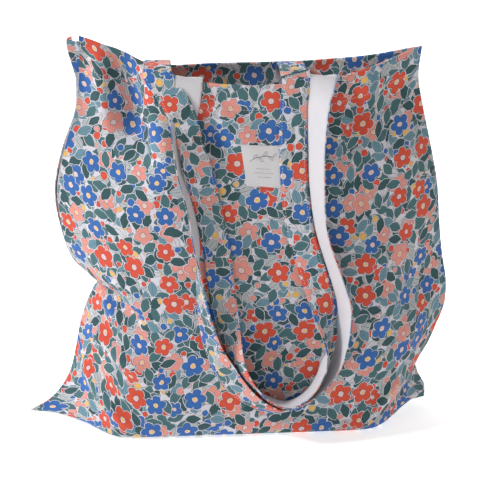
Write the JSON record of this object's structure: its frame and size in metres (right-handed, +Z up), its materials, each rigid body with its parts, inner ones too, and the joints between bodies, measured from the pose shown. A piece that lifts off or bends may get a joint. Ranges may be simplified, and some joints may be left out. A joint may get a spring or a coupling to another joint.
{
  "type": "tote bag",
  "caption": "Foldable cotton shopping tote with an all-over flower print, an open mouth, two long shoulder straps that fold over the front, and a small sewn label.",
  "frame": {"origin": "middle of the base, on the surface the bag stands on", "axes": "+X along the mouth to the viewer's right, -Y towards the front with the label, +Z up"},
  "size_m": [0.411, 0.1496, 0.3805],
  "materials": {
    "printed_cotton": "plain-weave cotton canvas, printed all over with blue, red and salmon flowers and green leaves on a pale lilac-grey ground",
    "white_twill": "white cotton twill tape",
    "woven_label": "off-white woven cotton label",
    "thread": "off-white polyester sewing thread"
  },
  "bodies": {
    "bag": {"front_panel": "printed_cotton", "back_panel": "printed_cotton", "left_side_seam": "thread", "right_side_seam": "thread", "bottom_seam": "thread", "front_hem_stitching": "thread", "back_hem_stitching": "thread", "label": "woven_label", "label_stitching": "thread", "front_handle_cover_ends": "printed_cotton", "front_handle_lining_ends": "white_twill", "front_handle_tacks": "thread", "back_handle_cover_ends": "printed_cotton", "back_handle_lining_ends": "white_twill", "back_handle_tacks": "thread"},
    "front_handle": {"front_handle_cover": "printed_cotton", "front_handle_lining": "white_twill", "front_handle_stitching": "thread"},
    "back_handle_root": {"back_handle_cover_bridges": "printed_cotton", "back_handle_lining_bridges": "white_twill"},
    "back_handle_loop": {"back_handle_cover": "printed_cotton", "back_handle_lining": "white_twill", "back_handle_stitching": "thread"}
  },
  "joints": [
    {"name": "front_handle_lift", "type": "hinge", "parent": "bag", "child": "front_handle", "pos_m": [0, -0.03307, 0.35], "axis": [-1, 0, 0], "range_deg": [0, 180]},
    {"name": "back_handle_lift", "type": "hinge", "parent": "bag", "child": "back_handle_root", "pos_m": [0, 0.03307, 0.35], "axis": [-1, 0, 0], "range_deg": [0, 90]},
    {"name": "back_handle_unfold", "type": "hinge", "parent": "back_handle_root", "child": "back_handle_loop", "pos_m": [0, -0.03307, 0.35], "axis": [-1, 0, 0], "range_deg": [0, 90]}
  ],
  "couplings": [
    {"joint": "back_handle_lift", "follows": "front_handle_lift", "ratio": 0.5},
    {"joint": "back_handle_unfold", "follows": "front_handle_lift", "ratio": 0.5}
  ]
}
